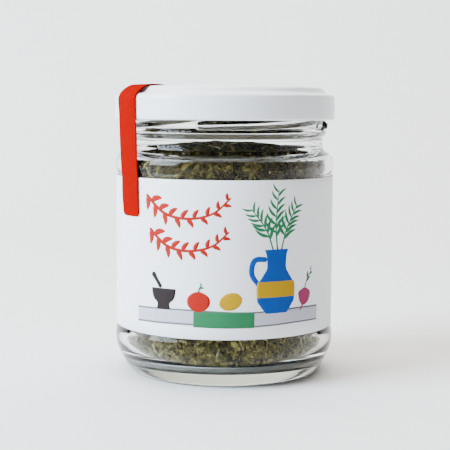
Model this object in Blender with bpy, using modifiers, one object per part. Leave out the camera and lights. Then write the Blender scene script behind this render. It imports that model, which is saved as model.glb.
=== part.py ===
"""A sealed glass jar of dried tarragon: jar, lid, sealing liner, label, seal strip and filling.

Dimensions are in millimetres and become metres where they enter Blender. The origin is the centre of
the base, on the surface that the jar stands on. +Z is up, -Y is the front of the label, and an azimuth
is measured from the front, positive towards +X. Turned pieces share one number of sides, so their flat
facets lie parallel and the gaps between nested pieces stay even.
"""
import math
import random

import bmesh
import bpy
import numpy as np

MM = 0.001
SIDES = 48
MERGE = 0.00001
GAP = 0.3

# Glass jar: the rim, finish, neck, shoulder, panel, heel and base, from the top down.
RIM_Z = 93.2
BORE_R = 29.6
FINISH_R = 33.1
BEAD_R = 33.85
BEAD_Z = 79.8
NECK_R = 32.6
SHOULDER_R = 36.45
SHOULDER_Z = 69.4
PANEL_R = 35.8
PANEL_TOP_Z = 65.9
PANEL_BOTTOM_Z = 15.7
HEEL_R = 36.58
HEEL_Z = 12.4
BEARING_R = 30.8
BEARING_WIDTH = 2.2
PUSH_UP = 2.4
WALL = 2.2
INSIDE_R = PANEL_R - WALL
FLOOR_CENTRE_Z = 5.4
FLOOR_EDGE_Z = 4.6
INNER_HEEL_R = 6.0
INNER_NECK_Z = 73.9
INNER_SHOULDER_Z = 69.4

# Threads: four ridges that start low at the left and climb to the right, as seen from the front.
THREAD_STARTS = 4
THREAD_AZIMUTH = -12.0
THREAD_SPAN = 105.0
THREAD_R = 1.05
THREAD_PATH_R = 33.38
THREAD_LOW_Z = 83.3

# Tinplate lid.
LID_R = 36.55
SHEET = 0.25
LID_BOTTOM_Z = 83.8
CURL_R = 0.85
LEDGE_Z = 92.3
RING_TOP_Z = 94.65
PANEL_Z = 93.9
LUG_AZIMUTH = THREAD_AZIMUTH + 78.0
LUG_REACH_R = 33.95
LUG_HEIGHT = 1.1
LUG_LENGTH = 8.0

# Sealing compound inside the lid, on the rim.
LINER_INNER_R = 28.9
LINER_OUTER_R = 32.1
LINER_THICK = 0.6

# Paper label, with its two ends a little apart at the back.
LABEL_R = 36.05
LABEL_THICK = 0.2
LABEL_BOTTOM_Z = 16.0
LABEL_TOP_Z = 65.6
LABEL_END_GAP = 8.0

# Seal strip, which narrows and leans as it comes down from the lid to the label.
STRIP_THICK = 0.2
STRIP_TOP_WIDTH = 12.2
STRIP_END_WIDTH = 9.6
STRIP_TOP_AZIMUTH = -59.2
STRIP_END_AZIMUTH = -55.2
STRIP_TOP_END_R = 15.0
STRIP_BOTTOM_Z = 53.2
STRIP_CORNER = 1.2

# Filling: a heap with a rough core that dried leaf flakes and bits of stalk stand out of.
FILL_EDGE_Z = 68.8
FILL_CENTRE_Z = 77.6
HEAP_POWER = 1.56
CORE_INSET = 1.5
CORE_COVER = 0.9
CORE_SIDES = 36
CORE_ROUGH = 0.5
FLAKE_THICK = 0.8
SEED = 17


def arc(centre_r, centre_z, radius, start, end, steps):
    """Points on a circular arc in the (r, z) half plane. Angles are in degrees, 0 outwards, 90 up."""
    angles = [math.radians(start + (end - start) * i / steps) for i in range(steps + 1)]
    return [(centre_r + radius * math.cos(a), centre_z + radius * math.sin(a)) for a in angles]


def direction(azimuth):
    """Unit vector outwards at an azimuth in degrees, 0 at the front and positive towards +X."""
    a = math.radians(azimuth)
    return np.array([math.sin(a), -math.cos(a), 0.0])


def collection(name):
    made = bpy.data.collections.new(name)
    bpy.context.scene.collection.children.link(made)
    return made


def material(name, colour, roughness, metallic=0.0, transmission=0.0, ior=1.5):
    made = bpy.data.materials.new(name)
    made.use_nodes = True
    shader = made.node_tree.nodes["Principled BSDF"]
    shader.inputs["Base Color"].default_value = (*colour, 1.0)
    shader.inputs["Roughness"].default_value = roughness
    shader.inputs["Metallic"].default_value = metallic
    shader.inputs["Transmission Weight"].default_value = transmission
    shader.inputs["IOR"].default_value = ior
    made.diffuse_color = (*colour, 1.0)
    return made


def mesh_object(name, points, edges, faces, home, finish=None):
    """An object from points in millimetres."""
    mesh = bpy.data.meshes.new(name)
    mesh.from_pydata([tuple(float(c) * MM for c in p) for p in points], edges, faces)
    made = bpy.data.objects.new(name, mesh)
    if finish:
        mesh.materials.append(finish)
    home.objects.link(made)
    return made


def turned(name, profile, home, finish, closed=False, sides=SIDES):
    """Turn a profile about Z. Its outer side runs from top to bottom; an open one ends on the axis."""
    edges = [(i, i + 1) for i in range(len(profile) - 1)]
    if closed:
        edges.append((len(profile) - 1, 0))
    made = mesh_object(name, [(r, 0.0, z) for r, z in profile], edges, [], home, finish)
    screw = made.modifiers.new("turn", "SCREW")
    screw.angle = 2 * math.pi
    screw.steps = sides
    screw.render_steps = sides
    screw.use_merge_vertices = True
    screw.merge_threshold = MERGE
    return made


def apply_modifiers(made):
    """Replace an object's mesh by what its modifiers make of it."""
    graph = bpy.context.evaluated_depsgraph_get()
    result = bpy.data.meshes.new_from_object(made.evaluated_get(graph))
    old = made.data
    made.modifiers.clear()
    made.data = result
    bpy.data.meshes.remove(old)


def join_all(made, pieces, solver):
    """Unite an object with every object of a collection, and remove the collection."""
    union = made.modifiers.new("join", "BOOLEAN")
    union.operation = "UNION"
    union.solver = solver
    union.operand_type = "COLLECTION"
    union.collection = pieces
    apply_modifiers(made)
    for piece in list(pieces.objects):
        bpy.data.objects.remove(piece)
    bpy.data.collections.remove(pieces)


def shade(made, angle=35.0):
    made.data.shade_smooth()
    made.data.set_sharp_from_angle(angle=math.radians(angle))


def jar_inside():
    """The inner side of the glass, from the middle of the floor to the rim."""
    heel_centre_r = INSIDE_R - INNER_HEEL_R
    heel = arc(heel_centre_r, FLOOR_EDGE_Z + INNER_HEEL_R, INNER_HEEL_R, -90, 0, 4)
    steps = 5
    shoulder = []
    for i in range(steps + 1):
        t = i / steps
        eased = t * t * (3 - 2 * t)
        z = INNER_SHOULDER_Z + (INNER_NECK_Z - INNER_SHOULDER_Z) * t
        shoulder.append((INSIDE_R + (BORE_R - INSIDE_R) * eased, z))
    rim = [(BORE_R, RIM_Z - 1.2), (BORE_R + 0.4, RIM_Z - 0.35)]
    return [(0.0, FLOOR_CENTRE_Z), (16.0, FLOOR_CENTRE_Z - 0.2)] + heel + shoulder + rim


def jar_outside():
    """The outer side of the glass, from the rim to the middle of the pushed-up underside."""
    rim = [(30.8, RIM_Z), (32.2, RIM_Z), (32.9, RIM_Z - 0.6), (FINISH_R, RIM_Z - 1.6)]
    finish = [(FINISH_R, BEAD_Z + 1.2)]
    bead = [(BEAD_R - 0.2, BEAD_Z + 0.7), (BEAD_R, BEAD_Z), (BEAD_R - 0.3, BEAD_Z - 0.7)]
    neck = [(NECK_R, BEAD_Z - 1.5), (NECK_R, 75.6)]
    shoulder = [(32.95, 74.4), (34.5, 73.15), (35.8, 71.8), (36.3, 70.5), (SHOULDER_R, SHOULDER_Z)]
    panel = [(36.3, 67.6), (PANEL_R, PANEL_TOP_Z), (PANEL_R, PANEL_BOTTOM_Z), (36.4, 14.6)]
    heel = [(HEEL_R, HEEL_Z), (36.45, 10.0), (36.0, 8.1), (35.2, 6.1), (34.0, 3.9), (32.5, 1.7)]
    bearing = [(BEARING_R + 0.4, 0.35), (BEARING_R, 0.0), (BEARING_R - BEARING_WIDTH, 0.0)]
    push_up = [(27.2, 0.8), (23.0, 1.9), (12.0, PUSH_UP), (0.0, PUSH_UP)]
    return rim + finish + bead + neck + shoulder + panel + heel + bearing + push_up


def thread_ridge(name, start, home):
    """One ridge: a round bar half sunk in the wall, which climbs slowly, then faster, to its end."""
    steps = 14
    curve = bpy.data.curves.new(name, "CURVE")
    curve.dimensions = "3D"
    curve.bevel_depth = THREAD_R * MM
    curve.bevel_resolution = 1
    curve.use_fill_caps = True
    line = curve.splines.new("POLY")
    line.points.add(steps)
    for i, point in enumerate(line.points):
        t = i / steps
        rise = 1.6 * t + 4.2 * t ** 3
        place = direction(start + THREAD_SPAN * t) * THREAD_PATH_R
        point.co = (place[0] * MM, place[1] * MM, (THREAD_LOW_Z + rise) * MM, 1.0)
        from_end = min(i, steps - i)
        point.radius = (0.45, 0.9)[from_end] if from_end < 2 else 1.0
    drawn = bpy.data.objects.new(name, curve)
    home.objects.link(drawn)
    graph = bpy.context.evaluated_depsgraph_get()
    solid = bpy.data.objects.new(name, bpy.data.meshes.new_from_object(drawn.evaluated_get(graph)))
    work = bmesh.new()
    work.from_mesh(solid.data)
    bmesh.ops.remove_doubles(work, verts=work.verts, dist=MERGE)
    work.to_mesh(solid.data)
    work.free()
    bpy.data.objects.remove(drawn)
    home.objects.link(solid)


def build_jar(home):
    glass = material("clear glass", (0.93, 0.95, 0.93), 0.02, transmission=1.0, ior=1.52)
    jar = turned("jar", jar_inside() + jar_outside(), home, glass)
    ridges = collection("thread ridges")
    for i in range(THREAD_STARTS):
        thread_ridge(f"ridge_{i}", THREAD_AZIMUTH + i * 360.0 / THREAD_STARTS, ridges)
    join_all(jar, ridges, "EXACT")
    shade(jar)
    return jar


def lid_profile():
    """The lid's sheet: outer side from the middle of the top to the rolled edge, then back inside."""
    panel = [(0.0, PANEL_Z), (25.6, PANEL_Z)]
    ring = [(27.4, 94.45), (28.6, RING_TOP_Z), (31.4, RING_TOP_Z), (32.5, 94.1), (33.3, 93.0)]
    ledge = [(34.0, 92.5), (35.1, LEDGE_Z)]
    corner = arc(LID_R - 1.5, LEDGE_Z - 1.55, 1.5, 75, 0, 3)
    curl_centre_r = LID_R - CURL_R
    curl = arc(curl_centre_r, LID_BOTTOM_Z + CURL_R, CURL_R, 0, -180, 5)
    skirt_inside = [(LID_R - SHEET, LID_BOTTOM_Z + 2.4 * CURL_R), (LID_R - SHEET, 90.8)]
    inside = [(35.0, LEDGE_Z - SHEET), (33.95, 92.25), (33.1, 92.85), (32.3, 93.9)]
    channel = [(31.3, RING_TOP_Z - SHEET), (28.7, RING_TOP_Z - SHEET), (25.7, PANEL_Z - SHEET)]
    return panel + ring + ledge + corner + curl + skirt_inside + inside + channel + [(0.0, PANEL_Z - SHEET)]


def lug(name, azimuth, home):
    """One lug: the rolled edge pressed inwards under a thread, as a block with eased edges."""
    outer_r = LID_R - CURL_R
    depth = outer_r - LUG_REACH_R
    bpy.ops.mesh.primitive_cube_add(size=1.0)
    block = bpy.context.object
    block.name = name
    for owner in list(block.users_collection):
        owner.objects.unlink(block)
    home.objects.link(block)
    turn = math.radians(azimuth)
    out = direction(azimuth)
    middle = out * (outer_r - depth / 2)
    for vertex in block.data.vertices:
        x, y, z = vertex.co
        along = x * LUG_LENGTH * (1.0 if y > 0 else 1.5)
        across = -y * depth
        vertex.co = (along * MM, across * MM, z * LUG_HEIGHT * MM)
    block.rotation_euler[2] = turn
    block.location = (middle[0] * MM, middle[1] * MM, (LID_BOTTOM_Z + 0.15 + LUG_HEIGHT / 2) * MM)


def build_lid(home):
    lacquer = material("white lacquer", (0.86, 0.87, 0.9), 0.3)
    lid = turned("lid", lid_profile(), home, lacquer)
    lugs = collection("lugs")
    for i in range(THREAD_STARTS):
        lug(f"lug_{i}", LUG_AZIMUTH + i * 360.0 / THREAD_STARTS, lugs)
    bpy.context.view_layer.update()
    join_all(lid, lugs, "EXACT")
    shade(lid)
    return lid


def build_liner(home):
    compound = material("sealing compound", (0.85, 0.84, 0.8), 0.5)
    low = RIM_Z + GAP
    high = low + LINER_THICK
    profile = [(LINER_INNER_R, low), (LINER_INNER_R, high), (31.3, high), (LINER_OUTER_R, high - 0.35),
               (LINER_OUTER_R, low)]
    liner = turned("lid_liner", profile, home, compound, closed=True)
    apply_modifiers(liner)
    shade(liner)
    return liner


def build_label(home):
    """A wall of paper from one end to the other, left open by LABEL_END_GAP at the back."""
    paper = material("white paper", (0.9, 0.9, 0.92), 0.6)
    half = 180.0 - math.degrees(LABEL_END_GAP / 2 / LABEL_R)
    points = []
    for i in range(SIDES + 1):
        out = direction(-half + 2 * half * i / SIDES) * LABEL_R
        points += [(out[0], out[1], LABEL_BOTTOM_Z), (out[0], out[1], LABEL_TOP_Z)]
    faces = [(2 * i, 2 * i + 2, 2 * i + 3, 2 * i + 1) for i in range(SIDES)]
    label = mesh_object("label", points, [], faces, home, paper)
    add_thickness(label, LABEL_THICK)
    shade(label)
    return label


def add_thickness(sheet, thick):
    """Give an open sheet its thickness, on the side that its faces look to."""
    solidify = sheet.modifiers.new("thickness", "SOLIDIFY")
    solidify.thickness = thick * MM
    solidify.offset = 1.0
    solidify.use_even_offset = True
    apply_modifiers(sheet)


def strip_path():
    """The strip's inner side in (r, z): over the lid's ring, down its skirt and neck, to the label."""
    on_top = [(STRIP_TOP_END_R, 94.2), (20.0, 94.2), (25.4, 94.22), (27.1, 94.78), (28.5, 94.96)]
    over_edge = [(31.5, 94.96), (32.8, 94.65), (34.2, 93.9), (35.5, 92.9), (36.4, 91.8), (36.85, 90.5)]
    skirt = [(36.88, 87.5), (36.88, 84.6)]
    bridge = [(36.75, 81.0), (36.66, 77.5), (36.7, 74.0), (36.78, 71.0)]
    shoulder = [(36.8, 69.0), (36.72, 67.2), (36.58, 65.4), (36.55, 63.5)]
    on_label = [(36.55, 58.0), (36.55, STRIP_BOTTOM_Z + STRIP_CORNER), (36.55, STRIP_BOTTOM_Z)]
    return on_top + over_edge + skirt + bridge + shoulder + on_label


def build_seal_strip(home):
    """A band carried along strip_path. Each row across it is a copy of one arc of the jar's side."""
    tape = material("orange seal paper", (0.93, 0.09, 0.01), 0.55)
    path = strip_path()
    across = 4
    points = []
    for i, (r, z) in enumerate(path):
        down = min(max((88.5 - z) / (88.5 - STRIP_BOTTOM_Z), 0.0), 1.0)
        width = STRIP_TOP_WIDTH + (STRIP_END_WIDTH - STRIP_TOP_WIDTH) * down
        if i in (0, len(path) - 1):
            width -= 2 * STRIP_CORNER
        out = direction(STRIP_TOP_AZIMUTH + (STRIP_END_AZIMUTH - STRIP_TOP_AZIMUTH) * down)
        side = np.array([-out[1], out[0], 0.0])
        for j in range(across + 1):
            turn = (j / across - 0.5) * width / LID_R
            place = out * (r - LID_R * (1 - math.cos(turn))) + side * LID_R * math.sin(turn)
            points.append((place[0], place[1], z))
    row = across + 1
    faces = [(i * row + j, (i + 1) * row + j, (i + 1) * row + j + 1, i * row + j + 1)
             for i in range(len(path) - 1) for j in range(across)]
    strip = mesh_object("seal_strip", points, [], faces, home, tape)
    add_thickness(strip, STRIP_THICK)
    shade(strip)
    return strip


def room_r(z):
    """The radius that the glass leaves for the filling at height z, a gap kept."""
    inside = jar_inside()[1:]
    heights = [p[1] for p in inside]
    radii = [p[0] for p in inside]
    return float(np.interp(z, heights[1:], radii[1:])) - GAP


def floor_z(r):
    """The height of the jar's floor at radius r, a gap kept."""
    inside = jar_inside()[:6]
    return float(np.interp(r, [p[0] for p in inside], [p[1] for p in inside])) + GAP


def heap_z(r):
    """The height of the heaped filling at radius r: highest on the axis, lowest at the glass."""
    share = min(r / (INSIDE_R - GAP), 1.0)
    return FILL_EDGE_Z + (FILL_CENTRE_Z - FILL_EDGE_Z) * (1 - share ** HEAP_POWER)


def heap_normal(out, r):
    """Unit normal of the heap at radius r, in the direction out from the axis."""
    step = 0.2
    slope = (heap_z(r + step) - heap_z(r)) / step
    normal = np.array([0, 0, 1.0]) - out * slope
    return normal / np.linalg.norm(normal)


def core_profile():
    """The core: the room inside the glass, drawn in, from the middle of its top to its underside."""
    top = [(r, heap_z(r) - CORE_COVER) for r in (0.0, 7.5, 14.0, 20.0, 25.0, 29.5)]
    heights = [FILL_EDGE_Z - 2.5, 61.0, 54.0, 47.0, 40.0, 33.0, 26.0, 19.0, 14.0, 11.0]
    side = [(INSIDE_R - GAP - CORE_INSET, z) for z in heights]
    heel_r = INSIDE_R - INNER_HEEL_R
    heel = arc(heel_r, FLOOR_EDGE_Z + INNER_HEEL_R, INNER_HEEL_R - GAP - CORE_INSET, -20, -80, 2)
    low = FLOOR_CENTRE_Z + GAP + 1.0
    return top + side + heel + [(22.0, low), (11.0, low), (0.0, low)]


def roughen(made, amount, rng):
    """Shift each point of the core by a little, so that it is as lumpy as what covers it."""
    for vertex in made.data.vertices:
        shift = [rng.uniform(-amount, amount) * MM for _ in range(3)]
        vertex.co = [c + s for c, s in zip(vertex.co, shift)]


def keep_in_jar(point, margin):
    """Bring a point inside the room that the glass leaves, less a margin."""
    x, y, z = point
    r = math.hypot(x, y)
    z = max(z, floor_z(r) + margin)
    limit = room_r(z) - margin
    if r > limit:
        x, y = x * limit / r, y * limit / r
    return np.array([x, y, max(z, floor_z(min(r, limit)) + margin)])


def flake(name, centre, normal, along, length, width, arch, home):
    """A dried leaf: a pointed blade with a ridge on each face, arched along its length.

    The outline is given by stations along the blade. At each station the two edges lie at half the
    local width to the sides, and the two ridges at half the thickness over and under the middle.
    """
    across = np.cross(normal, along)
    stations = [(-0.5, 0.0), (-0.17, 0.9), (0.2, 1.0), (0.5, 0.0)]
    half_thick = FLAKE_THICK / 2
    points = []
    for place, share in stations:
        bend = arch * (0.25 - place * place) * 4
        middle = keep_in_jar(centre + along * length * place + normal * bend, half_thick)
        if share == 0.0:
            points.append(middle)
            continue
        reach = across * width * share / 2
        left = keep_in_jar(middle - reach, 0.02)
        right = keep_in_jar(middle + reach, 0.02)
        points += [left, middle + normal * half_thick, right, middle - normal * half_thick]
    faces = []
    for j in range(4):
        k = (j + 1) % 4
        faces += [(0, 1 + k, 1 + j), (1 + j, 1 + k, 5 + k, 5 + j), (9, 5 + j, 5 + k)]
    blade = mesh_object(name, points, [], faces, home)
    recalculate(blade)


def stalk(name, centre, normal, along, length, radius, home):
    """A bit of dried stalk: a thin five-sided stick."""
    across = np.cross(normal, along)
    sides = 5
    points = []
    for end in (-0.5, 0.5):
        middle = keep_in_jar(centre + along * length * end, radius)
        for j in range(sides):
            a = 2 * math.pi * j / sides
            points.append(middle + (across * math.cos(a) + normal * math.sin(a)) * radius)
    faces = [tuple(range(sides)), tuple(range(2 * sides - 1, sides - 1, -1))]
    faces += [(j, (j + 1) % sides, sides + (j + 1) % sides, sides + j) for j in range(sides)]
    stick = mesh_object(name, points, [], faces, home)
    recalculate(stick)


def recalculate(made):
    """Turn the faces of a closed mesh outwards."""
    work = bmesh.new()
    work.from_mesh(made.data)
    bmesh.ops.recalc_face_normals(work, faces=work.faces)
    work.to_mesh(made.data)
    work.free()


def lying(normal, tilt, rng):
    """A random direction along a surface, with the surface's normal leaned by up to tilt degrees."""
    lean = np.array([rng.gauss(0, 1) for _ in range(3)])
    lean /= np.linalg.norm(lean)
    leaned = normal + lean * math.tan(math.radians(tilt)) * rng.random()
    leaned /= np.linalg.norm(leaned)
    any_way = np.array([rng.gauss(0, 1) for _ in range(3)])
    along = any_way - leaned * np.dot(any_way, leaned)
    return leaned, along / np.linalg.norm(along)


def filling_places(rng):
    """Where the flakes go: (place, surface normal, tilt), spread by the golden angle on each zone."""
    golden = math.radians(137.508)
    zones = [
        ("side", 84, 7.5, 18.0),
        ("side", 46, 18.0, 58.0),
        ("side", 46, 58.0, FILL_EDGE_Z - 0.5),
        ("top", 80, 0.0, 31.5),
        ("floor", 40, 0.0, 29.5),
    ]
    places = []
    for kind, count, low, high in zones:
        for i in range(count):
            turn = golden * i + rng.uniform(-0.12, 0.12)
            share = (i + rng.random()) / count
            out = np.array([math.cos(turn), math.sin(turn), 0.0])
            if kind == "side":
                z = low + (high - low) * share
                places.append((out * (room_r(z) - 0.75) + np.array([0, 0, z]), out, 22.0))
                continue
            r = high * math.sqrt(share)
            if kind == "top":
                height = heap_z(r) + rng.uniform(-0.5, 0.3)
                places.append((out * r + np.array([0, 0, height]), heap_normal(out, r), 25.0))
            else:
                height = floor_z(r) + 0.7
                places.append((out * r + np.array([0, 0, height]), np.array([0, 0, -1.0]), 12.0))
    return places


def largest_body(made):
    """Keep the outer shell alone: sealed hollows are filled and loose scraps dropped."""
    work = bmesh.new()
    work.from_mesh(made.data)
    bmesh.ops.triangulate(work, faces=work.faces)
    unseen = set(work.faces)
    shells = []
    while unseen:
        stack = [unseen.pop()]
        shell = list(stack)
        while stack:
            for edge in stack.pop().edges:
                for face in edge.link_faces:
                    if face in unseen:
                        unseen.discard(face)
                        stack.append(face)
                        shell.append(face)
        shells.append(shell)

    def volume(shell):
        return sum(f.verts[0].co.dot(f.verts[1].co.cross(f.verts[2].co)) for f in shell)

    kept = max(shells, key=volume)
    loose = [face for shell in shells if shell is not kept for face in shell]
    bmesh.ops.delete(work, geom=loose, context="FACES")
    work.to_mesh(made.data)
    work.free()


def build_filling(home):
    herb = material("dried tarragon", (0.17, 0.16, 0.06), 0.85)
    rng = random.Random(SEED)
    filling = turned("dried_tarragon", core_profile(), home, herb, sides=CORE_SIDES)
    apply_modifiers(filling)
    roughen(filling, CORE_ROUGH, rng)
    bits = collection("herb bits")
    for i, (place, normal, tilt) in enumerate(filling_places(rng)):
        leaned, along = lying(normal, tilt, rng)
        if i % 9 == 4:
            stalk(f"bit_{i}", place, leaned, along, rng.uniform(8, 13), rng.uniform(0.5, 0.75), bits)
            continue
        length = rng.uniform(6.5, 10.5)
        width = length * rng.uniform(0.38, 0.6)
        flake(f"bit_{i}", place, leaned, along, length, width, rng.uniform(-0.5, 1.0), bits)
    join_all(filling, bits, "MANIFOLD")
    largest_body(filling)
    return filling


def main():
    for old in list(bpy.data.objects):
        bpy.data.objects.remove(old)
    home = collection("tarragon_jar")
    build_jar(home)
    build_lid(home)
    build_liner(home)
    build_label(home)
    build_seal_strip(home)
    build_filling(home)


main()
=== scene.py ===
"""Looks for a sealed glass jar of dried tarragon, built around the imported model.

Lengths are in millimetres here and become metres in put_mesh. +Z is up, -Y is the front of the label,
and an azimuth is in degrees from the front, positive towards +X.
"""
import math

import bpy
import numpy as np
from mathutils import Matrix, Vector


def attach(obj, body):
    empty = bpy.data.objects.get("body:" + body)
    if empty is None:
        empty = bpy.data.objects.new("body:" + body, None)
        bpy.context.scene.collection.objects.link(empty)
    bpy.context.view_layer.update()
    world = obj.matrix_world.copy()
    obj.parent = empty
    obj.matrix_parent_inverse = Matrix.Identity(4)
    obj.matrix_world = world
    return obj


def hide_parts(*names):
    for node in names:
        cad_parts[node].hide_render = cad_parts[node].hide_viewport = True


MM = 0.001

# Glass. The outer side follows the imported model, and the inner side is fitted to how the glass looks.
RIM_Z = 93.2
BORE_R = 29.6
FINISH_R = 33.1
FINISH_LOW_Z = 81.0
FINISH_TOP_Z = 92.0
INSIDE_R = 33.6
INNER_HEEL_R = 7.2
FLOOR_CENTRE_Z = 5.8
FLOOR_EDGE_Z = 5.0
BEARING_RADII = (28.4, 31.6)
BEARING_TOP_Z = 0.6
KNURL_RISE = 0.14
JAR_SIDES = 240
KNURLS = JAR_SIDES // 4

# Tint of the base: partly the colour of a long path through the glass, partly painted shade of the floor
# under the jar seen through the heel. It sets in below the first height and is full below the second.
# Inside the first radius it has the inner share of its strength, and outside the second it has all of it.
TINT_AND_SHADE = (0.42, 0.41, 0.33, 1.0)
TINT_AND_SHADE_HEIGHTS = (6.4, 4.4)
TINT_AND_SHADE_RADII = (31.6, 32.4)
TINT_AND_SHADE_INNER = 0.3

# Threads: four ridges that start low at the left and climb to the right, as seen from the front.
# They start 1.3 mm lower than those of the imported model.
THREAD_STARTS = 4
THREAD_AZIMUTH = -12.0
THREAD_SPAN = 105.0
THREAD_CLIMB = 1.6
THREAD_SWEEP = 4.2
THREAD_PROUD = 1.33
THREAD_HALF = 1.7
THREAD_FLATNESS = 1.8
THREAD_LOW_Z = 82.0

# Lid. Its four lugs are the rolled edge, pressed inwards.
LID_R = 36.55
LID_SIDES = 256
LID_CORNER_R = 1.5
LID_CORNER_Z = 90.75
SHEET = 0.25
CURL_R = 0.85
CURL_TURN = 300.0
CURL_TIGHTER = 0.22
LID_BOTTOM_Z = 83.8
LUG_AZIMUTH = THREAD_AZIMUTH + 78.0
LUG_HALF = 7.0
LUG_PUSH = 0.9
LUG_SHARPNESS = 1.4
LUG_FLAT = 0.3
LINER_SIDES = 192

# Label, its print and the seal strip.
LABEL_R = 36.05
LABEL_THICK = 0.2
LABEL_BOTTOM_Z = 16.0
LABEL_TOP_Z = 65.6
LABEL_END_GAP = 8.0
PAPER_EDGE = 0.06
PAPER_EDGE_DROP = 0.05
PRINT_THICK = 0.02
PRINT_SUNK = 0.02
PRINT_LEAST_WIDTH = 0.06
PRINT_STEP = 0.45
PRINT_STEP_ACROSS = 0.8
PRINT_LEAF_BOW = 0.16
STRIP_THICK = 0.2
STRIP_TOP_WIDTH = 12.2
STRIP_END_WIDTH = 9.6
STRIP_TOP_AZIMUTH = -59.2
STRIP_END_AZIMUTH = -55.2
STRIP_TOP_END_R = 15.0
STRIP_NARROWS_Z = 88.5
STRIP_BOTTOM_Z = 53.2
STRIP_CORNER = 1.4
STRIP_WAVE = 0.12
STRIP_WAVE_TURN = 23.0

# Filling, heaped in the middle: a lumpy core, and flakes and bits of stalk between it and the glass.
FILL_EDGE_Z = 68.8
FILL_CENTRE_Z = 78.2
HEAP_POWER = 1.56
HEAP_LUMPS = 0.35
GLASS_GAP = 0.06
CORE_INSET = 1.5
CORE_UNDER_HEAP = 1.2
CORE_OVER_FLOOR = 1.3
CORE_LUMPS = 0.45
CORE_TONE = 0.12
CORE_SIDES = 180
LEAF_LENGTH = 2.4
LEAF_SPREAD = 0.36
LEAF_SHORTEST = 1.1
LEAF_LONGEST = 6.5
STALK_LENGTHS = (2.5, 8.0)
STALK_RADII = (0.16, 0.42)
STALK_TILT = 12.0
LUMP_WAVES = 60
LUMP_SIZES = (5.0, 14.0)
SEED = 23

# Colours of leaf and stalk, from dark to pale.
LEAF_STOPS = [(0.0, (0.010, 0.006, 0.001)), (0.3, (0.048, 0.033, 0.006)), (0.55, (0.145, 0.11, 0.023)),
              (0.8, (0.33, 0.265, 0.06)), (1.0, (0.54, 0.45, 0.15))]
STALK_STOPS = [(0.0, (0.14, 0.11, 0.03)), (0.6, (0.3, 0.26, 0.1)), (1.0, (0.5, 0.45, 0.22))]

# Depth of the fine grain on paper, lacquer and compound.
GRAIN_DEPTH = 0.02

# Stage: a floor, a bend of a quarter circle and a wall behind. It lies just under the jar.
STAGE_Z = -0.05
STAGE_HALF_WIDTH = 1300.0
STAGE_FRONT_Y = -1300.0
STAGE_BEND_Y = 420.0
STAGE_BEND_R = 500.0
STAGE_TOP_Z = 2200.0

# Light of the room, as it falls on things and as the camera sees it.
ROOM_LIGHT = 0.2
ROOM_SEEN = 2.2

# Camera: its place in metres, its lean down and its roll in radians, and its lens from the frame's width.
CAMERA_PLACE = (0.00018, -0.397, 0.08755)
CAMERA_LEAN = 0.0984
CAMERA_ROLL = 0.0059
FRAME_PIXELS = 450.0
FOCAL_PIXELS = 1180.8
SENSOR_WIDTH = 36.0


# Meshes.

def put_mesh(name, points, faces, finish):
    """A smooth object from points (n, 3) and faces, a list of index arrays with 3, 4 or more columns.

    The faces turn outwards. Their signed volume is the sum of the triple products of each face's fan of
    triangles, and where it is negative every face's order is reversed.
    """
    points = np.asarray(points, float).reshape(-1, 3)
    volume = 0.0
    for group in faces:
        for k in range(1, group.shape[1] - 1):
            a, b, c = points[group[:, 0]], points[group[:, k]], points[group[:, k + 1]]
            volume += float(np.einsum("ij,ij->", a, np.cross(b, c)))
    if volume < 0:
        faces = [group[:, ::-1] for group in faces]
    mesh = bpy.data.meshes.new(name)
    mesh.from_pydata((points * MM).tolist(), [], [face for group in faces for face in group.tolist()])
    mesh.materials.append(finish)
    mesh.shade_smooth()
    made = bpy.data.objects.new(name, mesh)
    bpy.context.scene.collection.objects.link(made)
    return made


def grid_faces(rows, cols, around=True, closed=False, start=0):
    """Quads of a grid of points numbered row by row from start.

    around joins the last column to the first, and closed joins the last row to the first.
    """
    i = np.arange(rows if closed else rows - 1)[:, None]
    j = np.arange(cols if around else cols - 1)[None, :]
    k, m = (i + 1) % rows, (j + 1) % cols
    corners = np.broadcast_arrays(i * cols + j, i * cols + m, k * cols + m, k * cols + j)
    return np.stack(corners, -1).reshape(-1, 4) + start


def polar(radius, azimuth, height):
    """Points at a radius, an azimuth in degrees and a height, all arrays of one shape."""
    a = np.radians(azimuth)
    return np.stack(np.broadcast_arrays(radius * np.sin(a), -radius * np.cos(a), height), -1)


def turned(name, profile, sides, finish, closed=False, reshape=None):
    """A profile (r, z) turned about Z.

    An open profile starts and ends on the axis, where fans of triangles close it. reshape takes arrays
    of azimuth, radius and height and gives back the changed radius and height.
    """
    azimuth = np.arange(sides)[None, :] * 360.0 / sides
    rows = profile if closed else profile[1:-1]
    radius = np.repeat(rows[:, :1], sides, axis=1)
    height = np.repeat(rows[:, 1:], sides, axis=1)
    if reshape:
        radius, height = reshape(azimuth, radius, height)
    points = polar(radius, azimuth, height).reshape(-1, 3)
    faces = [grid_faces(len(rows), sides, closed=closed)]
    if not closed:
        top, low = len(points), len(points) + 1
        j = np.arange(sides)
        k = (j + 1) % sides
        last = (len(rows) - 1) * sides
        faces.append(np.stack([np.full(sides, top), k, j], -1))
        faces.append(np.stack([np.full(sides, low), last + j, last + k], -1))
        points = np.vstack([points, [0, 0, profile[0][1]], [0, 0, profile[-1][1]]])
    return put_mesh(name, points, faces, finish)


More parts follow.
